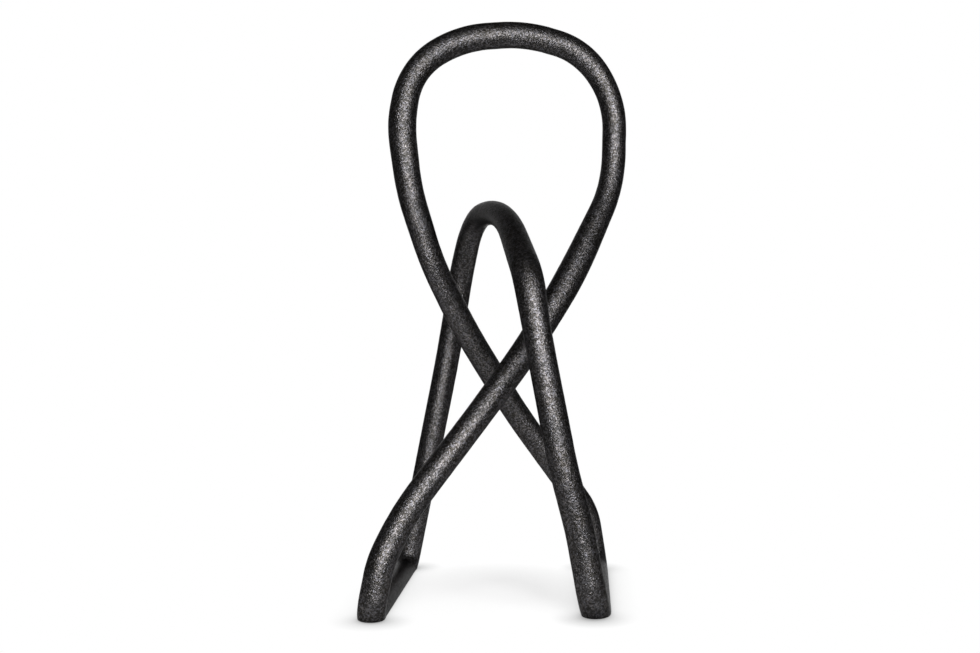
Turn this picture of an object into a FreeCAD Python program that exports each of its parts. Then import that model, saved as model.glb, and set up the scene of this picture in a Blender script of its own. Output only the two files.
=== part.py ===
import FreeCAD, Part
import Sketcher
import math
import os

from FreeCAD import Placement, Rotation, Vector

# Metal knot sculpture: one endless round tube, tied as a three-crossing knot.
# It stands on two runs that are sliced flat, so that the tube meets the floor.
# X is to the right, Y to the back and Z up, in millimetres.
# The origin lies on the floor, below the middle of the sculpture.

os.makedirs("parts", exist_ok=True)
doc = FreeCAD.newDocument("MetalKnot")

# Driving sizes

SIZES = {
    "tube_diameter": 28.0,
    "tube_wall": 2.0,
    "crown_height": 592.0,
    "stance_half_width": 120.0,
    "stance_half_depth": 132.0,
    "sleeve_length": 24.0,
    "sleeve_wall": 2.5,
    "sleeve_clearance": 0.2,
    "sole_thickness": 4.0,
    "sole_clearance": 0.2,
    "cut_overrun": 5.0,
}

sheet = doc.addObject("Spreadsheet::Sheet", "Sizes")
for row, (alias, size) in enumerate(SIZES.items(), start=1):
    sheet.set("A%d" % row, alias)
    sheet.set("B%d" % row, "%g" % size)
    sheet.setAlias("B%d" % row, alias)
doc.recompute()

# Bend table of the knot, in order along the closed tube.
# Each row is one bend, at the corner where its two straight runs would meet.
# Shares: across of the stance's half width, back of its half depth, up of the crown's height,
# then how far the bend reaches along the run before it and the run after it, of each run's length.

BEND_SHARES = [
    ("crown_bend", -0.761, -0.182, 0.714, 0.29, 0.49),
    ("crown_bend", -0.829, -0.212, 0.828, 0.28, 0.32),
    ("crown_bend", -0.751, -0.182, 0.928, 0.66, 0.53),
    ("crown_bend", -0.311, -0.068, 0.989, 0.46, 0.49),
    ("crown_bend", 0.257, 0.045, 1.003, 0.39, 0.42),
    ("crown_bend", 0.772, 0.152, 0.978, 0.49, 0.46),
    ("crown_bend", 1.075, 0.212, 0.891, 0.53, 0.39),
    ("crown_bend", 1.055, 0.182, 0.733, 0.52, 0.29),
    ("front_strand", 0.650, -0.167, 0.562, 0.35, 0.66),
    ("front_strand", 0.236, -0.424, 0.428, 0.31, 0.31),
    ("front_strand", -0.223, -0.682, 0.305, 0.38, 0.32),
    ("left_foot_bend", -0.765, -0.894, 0.164, 0.33, 0.73),
    ("left_foot_bend", -0.926, -1.020, 0.092, 0.25, 0.21),
    ("left_foot_bend", -1.017, -1.040, -0.002, 0.47, 0.10),
    ("left_foot_bend", -0.873, 0.990, -0.002, 0.09, 0.09),
    ("arch_rear_leg", -0.462, 1.090, 0.424, 0.16, 0.43),
    ("arch_bend", -0.336, 1.000, 0.580, 0.20, 0.25),
    ("arch_bend", -0.215, 0.680, 0.684, 0.56, 0.39),
    ("arch_bend", 0.065, -0.120, 0.684, 0.56, 0.45),
    ("arch_bend", 0.247, -0.980, 0.555, 0.15, 0.37),
    ("arch_bend", 0.317, -1.070, 0.460, 0.60, 0.27),
    ("arch_front_leg", 0.520, -1.035, 0.248, 0.13, 0.25),
    ("arch_front_leg", 0.655, -0.985, 0.145, 0.22, 0.16),
    ("right_foot_bend", 0.791, -0.960, 0.000, 0.43, 0.14),
    ("right_foot_bend", 0.971, 0.990, 0.003, 0.11, 0.45),
    ("right_foot_bend", 0.887, 0.970, 0.111, 0.29, 0.13),
    ("rear_strand", 0.188, 0.742, 0.309, 0.22, 0.29),
    ("rear_strand", -0.300, 0.379, 0.473, 0.32, 0.41),
    ("rear_strand", -0.575, 0.030, 0.590, 0.45, 0.33),
]

# The floor plate that closes each sliced run
SOLES = {"left_foot_bend": "left_sole_plate", "right_foot_bend": "right_sole_plate"}

# The sleeve at the end of each piece, towards the piece that follows it
SLEEVES = {
    "crown_bend": "crown_front_sleeve",
    "front_strand": "front_strand_foot_sleeve",
    "left_foot_bend": "left_foot_rear_sleeve",
    "arch_rear_leg": "arch_rear_sleeve",
    "arch_bend": "arch_front_sleeve",
    "arch_front_leg": "right_foot_front_sleeve",
    "right_foot_bend": "rear_strand_foot_sleeve",
    "rear_strand": "crown_rear_sleeve",
}


class Bend:
    """One bend of the tube, with its tangent points and the middle of its arc."""

    def __init__(self, piece, corner, before_share, after_share):
        self.piece = piece
        self.corner = corner
        self.before_share = before_share
        self.after_share = after_share

    def settle(self, before, after):
        come = self.corner - before
        leave = after - self.corner
        reach = min(self.before_share * come.Length, self.after_share * leave.Length)
        come.normalize()
        leave.normalize()
        half_turn = come.getAngle(leave) / 2
        radius = reach / math.tan(half_turn)
        inward = (leave - come).normalize()
        self.start = self.corner - come * reach
        self.end = self.corner + leave * reach
        self.middle = self.corner + inward * radius * (1 / math.cos(half_turn) - 1)


def read_bends(shift):
    """All bends of the closed tube, in order."""
    bends = []
    for piece, across_share, back_share, up_share, before_share, after_share in BEND_SHARES:
        corner = Vector(
            across_share * sheet.stance_half_width,
            back_share * sheet.stance_half_depth,
            up_share * sheet.crown_height,
        )
        bends.append(Bend(piece, corner + shift, before_share, after_share))
    for index, bend in enumerate(bends):
        following = bends[(index + 1) % len(bends)]
        bend.settle(bends[index - 1].corner, following.corner)
    return bends


def joints_of(bends):
    """The joint after each piece: the middle of its straight run, and its direction."""
    joints = {}
    for index, bend in enumerate(bends):
        following = bends[(index + 1) % len(bends)]
        if following.piece != bend.piece:
            run = following.start - bend.end
            joints[bend.piece] = (bend.end + run / 2, Vector(run).normalize(), run.Length)
    return joints


def route_of(piece, bends, joints, overrun):
    """Lines and arcs along one piece, with its two ends drawn out by the overrun."""
    pieces = list(SLEEVES)
    first, first_direction, _ = joints[pieces[pieces.index(piece) - 1]]
    last, last_direction, _ = joints[piece]
    here = first - first_direction * overrun
    edges = []
    for bend in bends:
        if bend.piece == piece:
            edges.append(Part.LineSegment(here, bend.start).toShape())
            edges.append(Part.Arc(bend.start, bend.middle, bend.end).toShape())
            here = bend.end
    edges.append(Part.LineSegment(here, last + last_direction * overrun).toShape())
    return Part.Wire(edges)


def middle_shift():
    """The move that brings the middle of the whole tube over the origin."""
    bends = read_bends(Vector())
    joints = joints_of(bends)
    box = Part.makeCompound([route_of(piece, bends, joints, 0) for piece in SLEEVES]).BoundBox
    return Vector(-box.Center.x, -box.Center.y, 0)


def add_route(name, wire):
    route = doc.addObject("Part::Feature", name)
    route.Shape = wire
    return route


def add_sweep(name, route, radius_formula):
    """A round bar along a route."""
    section = doc.addObject("Part::Circle", name + "_section")
    section.setExpression("Radius", radius_formula)
    first_edge = route.Shape.Edges[0]
    start = first_edge.valueAt(first_edge.FirstParameter)
    direction = first_edge.tangentAt(first_edge.FirstParameter)
    section.Placement = Placement(start, Rotation(Vector(0, 0, 1), direction))
    sweep = doc.addObject("Part::Sweep", name)
    sweep.Sections = [section]
    sweep.Spine = (route, ["Edge%d" % (number + 1) for number in range(len(route.Shape.Edges))])
    sweep.Solid = True
    sweep.Frenet = False
    return sweep


def add_cut(name, base, tool):
    cut = doc.addObject("Part::Cut", name)
    cut.Base = base
    cut.Tool = tool
    return cut


def add_floor_box(name, height_formula, top_formula):
    """A box as wide and deep as the whole stance, with its top at a given height."""
    box = doc.addObject("Part::Box", name)
    box.setExpression("Length", "2 * (Sizes.stance_half_width + 2 * Sizes.tube_diameter)")
    box.setExpression("Width", "2 * (Sizes.stance_half_depth + 2 * Sizes.tube_diameter)")
    box.setExpression("Height", height_formula)
    box.setExpression("Placement.Base.x", "-(Sizes.stance_half_width + 2 * Sizes.tube_diameter)")
    box.setExpression("Placement.Base.y", "-(Sizes.stance_half_depth + 2 * Sizes.tube_diameter)")
    box.setExpression("Placement.Base.z", top_formula)
    return box


def add_tube(piece, bends, joints):
    """One bent length of hollow tube, sliced at the floor where it is a foot."""
    route = add_route(piece + "_route", route_of(piece, bends, joints, 0))
    long_route = add_route(piece + "_bore_route", route_of(piece, bends, joints, sheet.cut_overrun))
    bar = add_sweep(piece + "_bar", route, "Sizes.tube_diameter / 2")
    bore = add_sweep(piece + "_bore", long_route, "Sizes.tube_diameter / 2 - Sizes.tube_wall")
    if piece not in SOLES:
        return add_cut(piece, bar, bore)
    hollow = add_cut(piece + "_hollow", bar, bore)
    floor_block = add_floor_box(piece + "_floor", "2 * Sizes.tube_diameter", "-2 * Sizes.tube_diameter")
    return add_cut(piece, hollow, floor_block)


def add_sole(piece, name, route):
    """The flat plate that lies inside the sliced run and closes it."""
    inside = "Sizes.tube_diameter / 2 - Sizes.tube_wall - Sizes.sole_clearance"
    core = add_sweep(name + "_core", route, inside)
    slab = add_floor_box(name + "_slab", "Sizes.sole_thickness", "0")
    sole = doc.addObject("Part::Common", name)
    sole.Base = core
    sole.Tool = slab
    return sole


def add_sleeve(name, joint):
    """A short inner tube across a joint, half of it in each piece."""
    centre, direction, _ = joint
    body = doc.addObject("PartDesign::Body", name)
    sketch = body.newObject("Sketcher::SketchObject", name + "_ring")
    plane = [feature for feature in body.Origin.OriginFeatures if feature.Role == "XY_Plane"][0]
    sketch.AttachmentSupport = (plane, [""])
    sketch.MapMode = "FlatFace"
    outer_radius = sheet.tube_diameter / 2 - sheet.tube_wall - sheet.sleeve_clearance
    inner_radius = outer_radius - sheet.sleeve_wall
    up = Vector(0, 0, 1)
    for radius in (outer_radius, inner_radius):
        number = sketch.addGeometry(Part.Circle(Vector(), up, radius), False)
        sketch.addConstraint(Sketcher.Constraint("Coincident", number, 3, -1, 1))
        constraint = sketch.addConstraint(Sketcher.Constraint("Radius", number, radius))
        sketch.renameConstraint(constraint, "outer" if radius == outer_radius else "inner")
    outside = "Sizes.tube_diameter / 2 - Sizes.tube_wall - Sizes.sleeve_clearance"
    sketch.setExpression("Constraints.outer", outside)
    sketch.setExpression("Constraints.inner", outside + " - Sizes.sleeve_wall")
    pad = body.newObject("PartDesign::Pad", name + "_length")
    pad.Profile = sketch
    pad.setExpression("Length", "Sizes.sleeve_length")
    pad.Midplane = True
    body.Tip = pad
    body.Placement = Placement(centre, Rotation(up, direction))
    return body


bends = read_bends(middle_shift())
joints = joints_of(bends)
made = []
for piece in SLEEVES:
    made.append(add_tube(piece, bends, joints))
    made.append(add_sleeve(SLEEVES[piece], joints[piece]))
for piece, sole_name in SOLES.items():
    made.append(add_sole(piece, sole_name, doc.getObject(piece + "_route")))
doc.recompute()

# Every run with a sleeve must be straight for the sleeve's whole length
for piece, (_, _, run_length) in joints.items():
    if run_length < sheet.sleeve_length:
        raise ValueError("run after %s is %.1f long, too short for its sleeve" % (piece, run_length))

for item in doc.Objects:
    if {"Invalid", "Error"} & set(item.State):
        raise ValueError("%s failed: %s" % (item.Name, item.State))
for item in made:
    if item.Shape.isNull() or not item.Shape.isValid():
        raise ValueError("%s has no valid shape" % item.Label)
    item.Shape.exportStep("parts/%s.step" % item.Label)
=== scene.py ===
import math

import bmesh
import bpy
from mathutils import Matrix, Vector, noise


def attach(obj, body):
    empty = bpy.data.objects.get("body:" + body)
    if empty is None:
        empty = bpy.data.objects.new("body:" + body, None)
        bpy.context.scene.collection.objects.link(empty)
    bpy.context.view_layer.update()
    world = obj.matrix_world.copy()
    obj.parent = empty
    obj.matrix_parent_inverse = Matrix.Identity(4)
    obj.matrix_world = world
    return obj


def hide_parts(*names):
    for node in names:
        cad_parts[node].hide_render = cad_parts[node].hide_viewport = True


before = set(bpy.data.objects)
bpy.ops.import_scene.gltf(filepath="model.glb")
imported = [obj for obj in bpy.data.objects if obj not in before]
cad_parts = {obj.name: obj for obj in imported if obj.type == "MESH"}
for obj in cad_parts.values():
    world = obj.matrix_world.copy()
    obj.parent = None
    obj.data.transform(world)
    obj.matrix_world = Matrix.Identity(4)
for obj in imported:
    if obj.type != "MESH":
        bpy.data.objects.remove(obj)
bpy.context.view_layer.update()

# Sizes in metres, the same as the driving sizes of the solids
TUBE_RADIUS = 0.014
TUBE_WALL = 0.002
CROWN_HEIGHT = 0.592
STANCE_HALF_WIDTH = 0.120
STANCE_HALF_DEPTH = 0.132

# The mesh of a bent tube: its sides, and the way between two rings on a straight run and round a bend
SKIN_SIDES = 64
BORE_SIDES = 16
RING_STEP = 0.0022
TURN_STEP = 0.0022
LEAST_TURN_STEPS = 4
CUT_WELD = 1e-7

# Points looked at along each bend when the knot is centred
CENTRING_STEPS = 64

# How far the cast skin rises and sinks
LUMP_DEPTH = 0.00022
LUMP_SIZE = 0.0085
PEBBLE_DEPTH = 0.00006
PEBBLE_SIZE = 0.0045
PEBBLE_SPOT = (7.3, 1.9, 4.1)

# The coat's pattern sizes and the depth of its facets
GRAIN_SIZE = 0.0015
FINE_SIZE = 0.0008
FLAKE_SIZE = 0.0013
PATCH_SIZE = 0.022
FACET_DEPTH = 0.0008
DARK_COAT = ((0.0250, 0.0232, 0.0205), (0.0240, 0.0237, 0.0236))
BRIGHT_FLAKE = ((0.1150, 0.1060, 0.1030), (0.1000, 0.1000, 0.1130))

# The white table: its half width, its back and front edges, how far it lies below the soles, how pale it is,
# how much of it glows near the object, how far its soft shade reaches, and how wide its painted contact shade
# is
FLOOR_HALF = 0.55
FLOOR_BACK = 0.55
FLOOR_FRONT = -0.256
FLOOR_DROP = 0.0002
FLOOR_PALE = 0.86
FLOOR_GLOW = 0.35
SHADE_REACH = (0.125, 0.155, 1.0)
PAINTED_CONTACT_SHADE_REACH = 0.030

# The studio round it, with its opening in degrees
ROOM_STRENGTH = 0.45
ROOM_DIMNESS = 0.18
ROOM_RADIUS = 3.2
ROOM_HEIGHT = 2.6
ROOM_FOOT = -0.02
ROOM_OPENING = 80
ROOM_SIDES = 48

# The soft lamps: place, width, height, power and spread in degrees, and where each is aimed
AIM = (0, 0, 0.38)
LAMPS = [
    ("key", (0.13, -1.36, 0.55), AIM, 0.95, 0.84, 37.5, 180),
    ("top", (0.0, -1.05, 1.40), AIM, 0.50, 0.35, 3, 180),
    ("fill", (0.85, -1.25, 0.70), AIM, 0.50, 0.60, 5.5, 180),
    ("low_card", (-0.10, -0.50, 0.02), (-0.075, 0, 0.36), 0.24, 0.16, 0.25, 50),
]

# The camera, with its tilt in degrees and its lens and sensor in millimetres
CAMERA_PLACE = (-0.0106, -1.2764, 0.2724)
CAMERA_TILT = 90.37
CAMERA_LENS = 44.08
CAMERA_SENSOR = 36.0

# Bend table of the knot, as in the solids, with the tube's swelling at each bend.
# Shares: across, back and up, then the reach of the bend along the run before and after it.
BEND_SHARES = [
    ("crown_bend", -0.761, -0.182, 0.714, 0.29, 0.49, 1.006),
    ("crown_bend", -0.829, -0.212, 0.828, 0.28, 0.32, 1.060),
    ("crown_bend", -0.751, -0.182, 0.928, 0.66, 0.53, 0.998),
    ("crown_bend", -0.311, -0.068, 0.989, 0.46, 0.49, 1.014),
    ("crown_bend", 0.257, 0.045, 1.003, 0.39, 0.42, 0.998),
    ("crown_bend", 0.772, 0.152, 0.978, 0.49, 0.46, 0.992),
    ("crown_bend", 1.075, 0.212, 0.891, 0.53, 0.39, 0.932),
    ("crown_bend", 1.055, 0.182, 0.733, 0.52, 0.29, 0.929),
    ("front_strand", 0.650, -0.167, 0.562, 0.35, 0.66, 1.097),
    ("front_strand", 0.236, -0.424, 0.428, 0.31, 0.31, 1.025),
    ("front_strand", -0.223, -0.682, 0.305, 0.38, 0.32, 0.965),
    ("left_foot_bend", -0.765, -0.894, 0.164, 0.33, 0.73, 0.984),
    ("left_foot_bend", -0.926, -1.020, 0.092, 0.25, 0.21, 0.995),
    ("left_foot_bend", -1.017, -1.040, -0.002, 0.47, 0.10, 0.985),
    ("left_foot_bend", -0.873, 0.990, -0.002, 0.09, 0.09, 0.965),
    ("arch_rear_leg", -0.462, 1.090, 0.424, 0.16, 0.43, 1.000),
    ("arch_bend", -0.336, 1.000, 0.580, 0.20, 0.25, 1.000),
    ("arch_bend", -0.215, 0.680, 0.684, 0.56, 0.39, 0.941),
    ("arch_bend", 0.065, -0.120, 0.684, 0.56, 0.45, 0.950),
    ("arch_bend", 0.247, -0.980, 0.555, 0.15, 0.37, 1.080),
    ("arch_bend", 0.317, -1.070, 0.460, 0.60, 0.27, 0.985),
    ("arch_front_leg", 0.520, -1.035, 0.248, 0.13, 0.25, 1.010),
    ("arch_front_leg", 0.655, -0.985, 0.145, 0.22, 0.16, 1.020),
    ("right_foot_bend", 0.791, -0.960, 0.000, 0.43, 0.14, 1.060),
    ("right_foot_bend", 0.971, 0.990, 0.003, 0.11, 0.45, 1.010),
    ("right_foot_bend", 0.887, 0.970, 0.111, 0.29, 0.13, 1.000),
    ("rear_strand", 0.188, 0.742, 0.309, 0.22, 0.29, 1.009),
    ("rear_strand", -0.300, 0.379, 0.473, 0.32, 0.41, 1.000),
    ("rear_strand", -0.575, 0.030, 0.590, 0.45, 0.33, 0.962),
]

FOOT_PIECES = ("left_foot_bend", "right_foot_bend")
SLEEVES = (
    "crown_front_sleeve",
    "front_strand_foot_sleeve",
    "left_foot_rear_sleeve",
    "arch_rear_sleeve",
    "arch_front_sleeve",
    "right_foot_front_sleeve",
    "rear_strand_foot_sleeve",
    "crown_rear_sleeve",
)
SOLES = ("left_sole_plate", "right_sole_plate")

# The kinds of ray that see the white background
BACKGROUND_RAYS = ("Is Camera Ray", "Is Glossy Ray", "Is Transmission Ray")


class Wire:
    """A value inside a finish, which the usual signs work on."""

    def __init__(self, finish, socket):
        self.finish = finish
        self.socket = socket

    def math(self, operation, first, second=None):
        values = {0: first}
        if second is not None:
            values[1] = second
        return self.finish.node("ShaderNodeMath", {"operation": operation}, values)

    def __add__(self, other):
        return self.math("ADD", self, other)

    def __mul__(self, other):
        return self.math("MULTIPLY", self, other)

    def __pow__(self, other):
        return self.math("POWER", self, other)

    def limited(self, low, high):
        raised = self.math("MAXIMUM", self, low)
        return self.math("MINIMUM", raised, high)


class Finish:
    """A material, or the world, built node by node."""

    def __init__(self, name, kind="materials"):
        self.owner = getattr(bpy.data, kind).new(name)
        self.owner.use_nodes = True
        self.tree = self.owner.node_tree
        self.tree.nodes.clear()

    def node(self, kind, settings=None, inputs=None, output=0):
        made = self.tree.nodes.new(kind)
        for key, value in (settings or {}).items():
            setattr(made, key, value)
        for key, value in (inputs or {}).items():
            if isinstance(value, Wire):
                self.tree.links.new(value.socket, made.inputs[key])
            else:
                made.inputs[key].default_value = value
        return Wire(self, made.outputs[output]) if made.outputs else None

    def place(self):
        return self.node("ShaderNodeTexCoord", output="Object")

    def noise(self, size, detail=2.0, rough=0.5, offset=0.0):
        """Smooth noise with blotches of a size in metres, from 0 to 1."""
        spot = self.place()
        if offset:
            moved = {"Location": (offset, -offset, 2 * offset)}
            spot = self.node("ShaderNodeMapping", None, {"Vector": spot, **moved})
        values = {"Vector": spot, "Scale": 1 / size, "Detail": detail, "Roughness": rough}
        return self.node("ShaderNodeTexNoise", None, values)

    def cells(self, size):
        """A colour for each of the small cells of a size in metres."""
        values = {"Vector": self.place(), "Scale": 1 / size}
        return self.node("ShaderNodeTexVoronoi", {"feature": "F1"}, values, "Color")

    def spread(self, value, low, high, to_low, to_high):
        """The value moved from one range to another, and kept inside it."""
        values = {0: value, 1: low, 2: high, 3: to_low, 4: to_high}
        return self.node("ShaderNodeMapRange", {"clamp": True}, values)

    def mix(self, factor, first, second):
        """One colour turning to another. The node's colours are its inputs 6 and 7 and its output 2."""
        values = {0: factor, 6: first, 7: second}
        return self.node("ShaderNodeMix", {"data_type": "RGBA"}, values, 2)

    def seen_as_background(self):
        """One for the rays that show the background: from the camera, off gloss and through glass."""
        shares = [self.node("ShaderNodeLightPath", output=name) for name in BACKGROUND_RAYS]
        return (shares[0] + shares[1] + shares[2]).limited(0.0, 1.0)

    def finish_with(self, shader, ending="ShaderNodeOutputMaterial"):
        self.node(ending, None, {"Surface": shader})
        return self.owner


def colour(red, green, blue):
    return (red, green, blue, 1)


def make_coat():
    """Dark granular metallic coat: its small facets sparkle where the lamp meets them."""
    coat = Finish("granular_coat")
    grain = coat.noise(GRAIN_SIZE, 2.0, 0.6)
    fine = coat.noise(FINE_SIZE, 1.0, 0.5, 3.1)
    flakes = coat.cells(FLAKE_SIZE)
    flake_light = coat.node("ShaderNodeSeparateColor", None, {"Color": flakes}, "Red")
    flake_tint = coat.node("ShaderNodeSeparateColor", None, {"Color": flakes}, "Green")
    patches = coat.noise(PATCH_SIZE, 3.0, 0.6, 1.7)
    dark = coat.mix(coat.spread(patches, 0.35, 0.7, 0, 1), *(colour(*tint) for tint in DARK_COAT))
    bright = coat.mix(flake_tint, *(colour(*tint) for tint in BRIGHT_FLAKE))
    tone = coat.mix(coat.spread(flake_light, 0.25, 1.0, 0.0, 1.0) ** 1.3, dark, bright)
    rough = coat.spread(grain, 0.3, 0.75, 0.34, 0.28) + coat.spread(patches, 0.3, 0.7, -0.015, 0.015)
    height = grain * 0.75 + fine * 0.25
    bump = coat.node("ShaderNodeBump", None, {"Strength": 1.0, "Distance": FACET_DEPTH, "Height": height})
    shader = coat.node(
        "ShaderNodeBsdfPrincipled",
        {"distribution": "MULTI_GGX"},
        {
            "Base Color": tone,
            "Metallic": 1.0,
            "Roughness": rough,
            "Specular Tint": colour(0.4, 0.4, 0.4),
            "Normal": bump,
        },
    )
    return coat.finish_with(shader)


def make_turned_steel():
    """Bare steel of the hidden sleeves, with fine turning marks."""
    steel = Finish("turned_steel")
    streaks = steel.noise(0.0009, 2.0, 0.5)
    stain = steel.noise(0.012, 3.0, 0.6, 2.2)
    tone = steel.mix(steel.spread(stain, 0.35, 0.7, 0, 1), colour(0.34, 0.34, 0.35), colour(0.46, 0.45, 0.44))
    bump = steel.node("ShaderNodeBump", None, {"Strength": 0.25, "Distance": 0.0003, "Height": streaks})
    rough = steel.spread(streaks, 0.3, 0.7, 0.30, 0.42)
    shader = steel.node(
        "ShaderNodeBsdfPrincipled",
        None,
        {"Base Color": tone, "Metallic": 1.0, "Roughness": rough, "Normal": bump},
    )
    return steel.finish_with(shader)


def make_worn_coat():
    """Coat of the sole plates, rubbed satin where they stand."""
    worn = Finish("worn_coat")
    grain = worn.noise(0.0011, 1.5, 0.6)
    rubs = worn.noise(0.018, 4.0, 0.65, 4.4)
    worn_share = worn.spread(rubs, 0.48, 0.66, 0, 1)
    tone = worn.mix(worn_share, colour(0.030, 0.030, 0.031), colour(0.11, 0.108, 0.105))
    rough = worn.spread(rubs, 0.45, 0.7, 0.55, 0.36)
    bump = worn.node("ShaderNodeBump", None, {"Strength": 0.3, "Distance": 0.0004, "Height": grain})
    shader = worn.node(
        "ShaderNodeBsdfPrincipled",
        None,
        {"Base Color": tone, "Metallic": 0.85, "Roughness": rough, "Normal": bump},
    )
    return worn.finish_with(shader)


class Bend:
    """One bend of the tube, with its tangent points, its turn and the swelling there."""

    def __init__(self, row):
        self.piece, across, back, up, self.before_share, self.after_share, self.swell = row
        self.corner = Vector((across * STANCE_HALF_WIDTH, back * STANCE_HALF_DEPTH, up * CROWN_HEIGHT))

    def settle(self, before, after):
        come = self.corner - before
        leave = after - self.corner
        reach = min(self.before_share * come.length, self.after_share * leave.length)
        come.normalize()
        leave.normalize()
        self.turn = come.angle(leave)
        self.radius = reach / math.tan(self.turn / 2)
        self.axis = come.cross(leave).normalized()
        self.come = come
        self.leave = leave
        self.start = self.corner - come * reach
        self.end = self.corner + leave * reach
        self.centre = self.corner + (leave - come).normalized() * self.radius / math.cos(self.turn / 2)


def read_bends():
    """The bends of the whole loop, with the knot centred across and back."""
    bends = [Bend(row) for row in BEND_SHARES]
    for index, bend in enumerate(bends):
        bend.settle(bends[index - 1].corner, bends[(index + 1) % len(bends)].corner)
    lows = [math.inf] * 2
    highs = [-math.inf] * 2
    for index, bend in enumerate(bends):
        for step in range(CENTRING_STEPS + 1):
            turned = Matrix.Rotation(bend.turn * step / CENTRING_STEPS, 3, bend.axis)
            point = bend.centre + turned @ (bend.start - bend.centre)
            for side in range(2):
                lows[side] = min(lows[side], point[side])
                highs[side] = max(highs[side], point[side])
    shift = Vector((-(lows[0] + highs[0]) / 2, -(lows[1] + highs[1]) / 2, 0))
    for bend in bends:
        bend.corner += shift
    for index, bend in enumerate(bends):
        bend.settle(bends[index - 1].corner, bends[(index + 1) % len(bends)].corner)
    return bends


def joint_after(bends, piece):
    """The middle of the straight run after a piece, where it meets the next one."""
    for index, bend in enumerate(bends):
        following = bends[(index + 1) % len(bends)]
        if bend.piece == piece and following.piece != piece:
            return (bend.end + following.start) / 2, bend.leave


def swell_stations(bends):
    """Places along the closed tube, with the swelling at each: (length so far, swelling)."""
    stations = []
    length = 0.0
    for index, bend in enumerate(bends):
        arc = bend.radius * bend.turn
        stations.append((length + arc / 2, bend.swell))
        length += arc + (bends[(index + 1) % len(bends)].start - bend.end).length
    first = stations[0]
    last = stations[-1]
    return [(last[0] - length, last[1])] + stations + [(first[0] + length, first[1])], length


def swell_at(stations, total, place):
    """The swelling at a length along the closed tube, eased from one station to the next."""
    place = place % total
    for (low, low_swell), (high, high_swell) in zip(stations, stations[1:]):
        if low <= place <= high:
            share = (place - low) / (high - low)
            smooth = share * share * (3 - 2 * share)
            return low_swell + (high_swell - low_swell) * smooth
    return 1.0


def grain_depth(point):
    """How far the cast skin sinks at a point, in metres."""
    lump = noise.noise(point / LUMP_SIZE)
    pebble = noise.noise(point / PEBBLE_SIZE + Vector(PEBBLE_SPOT))
    return -LUMP_DEPTH * (0.5 + 0.5 * lump) - PEBBLE_DEPTH * (0.5 + 0.5 * pebble)


def sweep_tube(piece, bends, places):
    """A bent tube, open at its ends: two rings drawn along straight runs and spun round the bends."""
    order = list(dict.fromkeys(bend.piece for bend in bends))
    start, heading = joint_after(bends, order[order.index(piece) - 1])
    stop, _ = joint_after(bends, piece)
    mesh = bmesh.new()
    turned = heading.to_track_quat("Z", "X").to_matrix().to_4x4()
    at_start = Matrix.Translation(start) @ turned
    skin = bmesh.ops.create_circle(mesh, segments=SKIN_SIDES, radius=TUBE_RADIUS, matrix=at_start)
    bore = bmesh.ops.create_circle(mesh, segments=BORE_SIDES, radius=TUBE_RADIUS - TUBE_WALL, matrix=at_start)
    first_skin = list({edge for vert in skin["verts"] for edge in vert.link_edges})
    first_bore = list({edge for vert in bore["verts"] for edge in vert.link_edges})
    edges = first_skin + first_bore
    rings = [(start, places[piece])]
    here = start
    length = places[piece]

    def run_to(target):
        nonlocal edges, here, length
        way = target - here
        steps = max(1, round(way.length / RING_STEP))
        for _ in range(steps):
            made = bmesh.ops.extrude_edge_only(mesh, edges=edges)["geom"]
            verts = [item for item in made if isinstance(item, bmesh.types.BMVert)]
            fresh = set(verts)
            edges = [
                item
                for item in made
                if isinstance(item, bmesh.types.BMEdge) and item.verts[0] in fresh and item.verts[1] in fresh
            ]
            bmesh.ops.translate(mesh, vec=way / steps, verts=verts)
            here = here + way / steps
            length += way.length / steps
            rings.append((here.copy(), length))
        here = target.copy()

    for bend in bends:
        if bend.piece != piece:
            continue
        run_to(bend.start)
        arc = bend.radius * bend.turn
        steps = max(LEAST_TURN_STEPS, round(arc / TURN_STEP))
        geometry = edges + list({vert for edge in edges for vert in edge.verts})
        spun = bmesh.ops.spin(
            mesh,
            geom=geometry,
            cent=bend.centre,
            axis=bend.axis,
            dvec=(0, 0, 0),
            angle=bend.turn,
            steps=steps,
            use_duplicate=False,
        )
        edges = [item for item in spun["geom_last"] if isinstance(item, bmesh.types.BMEdge)]
        for step in range(1, steps + 1):
            turned = Matrix.Rotation(bend.turn * step / steps, 3, bend.axis)
            rings.append((bend.centre + turned @ (bend.start - bend.centre), length + arc * step / steps))
        length += arc
        here = bend.end.copy()
    run_to(stop)
    last = set(edges)
    return mesh, rings, first_skin, first_bore, last


def place_on_lengths(bends):
    """The length along the closed tube at which each piece starts."""
    order = list(dict.fromkeys(bend.piece for bend in bends))
    places = {}
    length = 0.0
    for index, bend in enumerate(bends):
        if index == 0 or bends[index - 1].piece != bend.piece:
            start, _ = joint_after(bends, order[order.index(bend.piece) - 1])
            places[bend.piece] = length - (bend.start - start).length
        length += bend.radius * bend.turn + (bends[(index + 1) % len(bends)].start - bend.end).length
    return places


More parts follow.
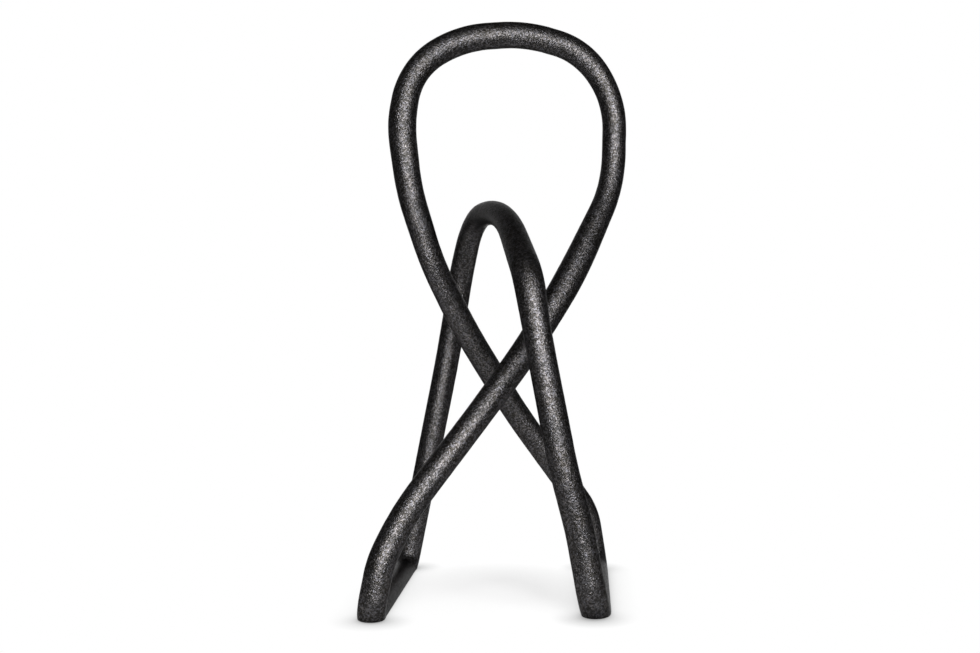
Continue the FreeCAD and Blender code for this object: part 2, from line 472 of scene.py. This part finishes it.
def make_tube(piece, bends, places, stations, total):
    """The coated skin of one piece: swollen, roughened, closed at its ends and sliced flat at the floor."""
    mesh, rings, first_skin, first_bore, last = sweep_tube(piece, bends, places)
    mesh.verts.ensure_lookup_table()
    per_ring = SKIN_SIDES + BORE_SIDES
    # The skin's vertices are those farther from the ring's centre than the bore's
    edge_between = TUBE_RADIUS - TUBE_WALL / 2
    skin_verts = []
    for number, (centre, length) in enumerate(rings):
        swell = swell_at(stations, total, length)
        for vert in mesh.verts[number * per_ring:(number + 1) * per_ring]:
            away = vert.co - centre
            if away.length > edge_between:
                depth = grain_depth(vert.co)
                vert.co = centre + away * swell + away.normalized() * depth
                skin_verts.append(vert)
    skin_set = set(skin_verts)
    last_skin = [edge for edge in last if edge.verts[0] in skin_set]
    last_bore = [edge for edge in last if edge.verts[0] not in skin_set]
    ends = bmesh.ops.bridge_loops(mesh, edges=first_skin + first_bore)["faces"]
    ends += bmesh.ops.bridge_loops(mesh, edges=last_skin + last_bore)["faces"]
    for edge in first_skin + first_bore + last_skin + last_bore:
        edge.smooth = False
    if piece in FOOT_PIECES:
        cut = bmesh.ops.bisect_plane(
            mesh,
            geom=mesh.verts[:] + mesh.edges[:] + mesh.faces[:],
            dist=CUT_WELD,
            plane_co=(0, 0, 0),
            plane_no=(0, 0, -1),
            clear_outer=True,
        )
        rim = [item for item in cut["geom_cut"] if isinstance(item, bmesh.types.BMEdge)]
        bmesh.ops.edgenet_fill(mesh, edges=rim)
        for edge in rim:
            edge.smooth = False
    bmesh.ops.recalc_face_normals(mesh, faces=mesh.faces[:])
    for face in mesh.faces:
        face.smooth = True
    name = piece + "_coated"
    data = bpy.data.meshes.new(name)
    mesh.to_mesh(data)
    mesh.free()
    tube = bpy.data.objects.new(name, data)
    bpy.context.scene.collection.objects.link(tube)
    return tube


def make_floor():
    """White table that keeps the shadows, with a contact shade painted into its glow round the feet, and its
    front edge just below the picture.
    """
    floor_mesh = bmesh.new()
    table = Matrix.Translation((0, FLOOR_BACK - FLOOR_HALF, 0))
    bmesh.ops.create_grid(floor_mesh, x_segments=1, y_segments=1, size=FLOOR_HALF, matrix=table)
    front_edge = [vert for vert in floor_mesh.verts if vert.co.y < 0]
    for vert in front_edge:
        vert.co.y = FLOOR_FRONT
    data = bpy.data.meshes.new("floor")
    floor_mesh.to_mesh(data)
    floor_mesh.free()
    floor = bpy.data.objects.new("floor", data)
    floor.location = (0, 0, -FLOOR_DROP)
    bpy.context.scene.collection.objects.link(floor)
    look = Finish("pale_floor")
    lit = look.node("ShaderNodeBsdfDiffuse", None, {"Color": colour(FLOOR_PALE, FLOOR_PALE, FLOOR_PALE)})
    # Painted contact shade: ambient occlusion near the feet dims the table's white glow, also in the feet's
    # reflections of it
    painted_contact_shade = look.node("ShaderNodeAmbientOcclusion", {"samples": 16}, {"Distance": PAINTED_CONTACT_SHADE_REACH}, "AO")
    painted_shade_lightness = look.spread(painted_contact_shade, 0.35, 0.98, 0.42, 1.0)
    # White glow of the table, its strength darkened round the feet by the painted contact shade
    white = look.node("ShaderNodeEmission", None, {"Color": colour(1, 1, 1), "Strength": painted_shade_lightness})
    spot = look.node("ShaderNodeVectorMath", {"operation": "DIVIDE"}, {0: look.place(), 1: SHADE_REACH})
    away = look.node("ShaderNodeVectorMath", {"operation": "LENGTH"}, {0: spot}, "Value")
    glow = look.spread(away, 0.35, 1.0, FLOOR_GLOW, 1.0)
    both = look.node("ShaderNodeMixShader", None, {0: look.seen_as_background() * glow, 1: lit, 2: white})
    data.materials.append(look.finish_with(both))


def make_world():
    """White where it is seen, a dimmer room where it lights the object."""
    look = Finish("studio", "worlds")
    room = look.node("ShaderNodeBackground", None, {"Color": colour(1, 1, 1), "Strength": ROOM_STRENGTH})
    white = look.node("ShaderNodeBackground", None, {"Color": colour(1, 1, 1), "Strength": 1.0})
    both = look.node("ShaderNodeMixShader", None, {0: look.seen_as_background(), 1: room, 2: white})
    bpy.context.scene.world = look.finish_with(both, "ShaderNodeOutputWorld")


def make_room():
    """The dim side of the studio, which only reflections show: a curtain with an opening behind the object,
    a ceiling, and a floor beyond the table."""
    look = Finish("dim_room")
    dim = look.node("ShaderNodeEmission", None, {"Color": colour(1, 1, 1), "Strength": ROOM_DIMNESS})
    dim_room = look.finish_with(dim)
    curtain = bmesh.new()
    foot = curtain.verts.new((0, ROOM_RADIUS, ROOM_FOOT))
    foot_edge = bmesh.ops.extrude_vert_indiv(curtain, verts=[foot])
    top = foot_edge["verts"][0]
    bmesh.ops.translate(curtain, vec=(0, 0, ROOM_HEIGHT), verts=[top])
    turn_to_start = Matrix.Rotation(math.radians(ROOM_OPENING / 2), 3, "Z")
    bmesh.ops.rotate(curtain, cent=(0, 0, 0), matrix=turn_to_start, verts=[foot, top])
    bmesh.ops.spin(
        curtain,
        geom=curtain.verts[:] + curtain.edges[:],
        cent=(0, 0, 0),
        axis=(0, 0, 1),
        dvec=(0, 0, 0),
        angle=math.radians(360 - ROOM_OPENING),
        steps=ROOM_SIDES,
        use_duplicate=False,
    )
    for height in (ROOM_HEIGHT, ROOM_FOOT):
        level = Matrix.Translation((0, 0, height))
        bmesh.ops.create_circle(curtain, cap_ends=True, segments=ROOM_SIDES, radius=ROOM_RADIUS, matrix=level)
    data = bpy.data.meshes.new("dim_room")
    curtain.to_mesh(data)
    curtain.free()
    room = bpy.data.objects.new("dim_room", data)
    data.materials.append(dim_room)
    bpy.context.scene.collection.objects.link(room)
    room.visible_camera = False
    room.visible_diffuse = False
    room.visible_transmission = False
    room.visible_shadow = False


def add_softbox(name, place, aim, width, height, power, spread):
    data = bpy.data.lights.new(name, "AREA")
    data.shape = "RECTANGLE"
    data.size = width
    data.size_y = height
    data.energy = power
    data.spread = math.radians(spread)
    lamp = bpy.data.objects.new(name, data)
    lamp.location = place
    lamp.rotation_euler = (Vector(aim) - Vector(place)).to_track_quat("-Z", "Y").to_euler()
    bpy.context.scene.collection.objects.link(lamp)


def make_camera():
    data = bpy.data.cameras.new("camera")
    data.sensor_width = CAMERA_SENSOR
    data.lens = CAMERA_LENS
    camera = bpy.data.objects.new("camera", data)
    camera.location = CAMERA_PLACE
    camera.rotation_euler = (math.radians(CAMERA_TILT), 0, 0)
    bpy.context.scene.collection.objects.link(camera)
    bpy.context.scene.camera = camera


bends = read_bends()
places = place_on_lengths(bends)
stations, total = swell_stations(bends)

coat = make_coat()
for piece in places:
    tube = make_tube(piece, bends, places, stations, total)
    tube.data.materials.append(coat)
    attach(tube, "root")
    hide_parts(piece)

turned_steel = make_turned_steel()
for name in SLEEVES:
    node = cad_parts[name]
    node.data.materials.clear()
    node.data.materials.append(turned_steel)

worn_coat = make_worn_coat()
for name in SOLES:
    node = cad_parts[name]
    node.data.materials.clear()
    node.data.materials.append(worn_coat)

make_floor()
make_world()
make_camera()
make_room()
for lamp_row in LAMPS:
    add_softbox(*lamp_row)

bpy.context.scene.view_settings.view_transform = "Standard"
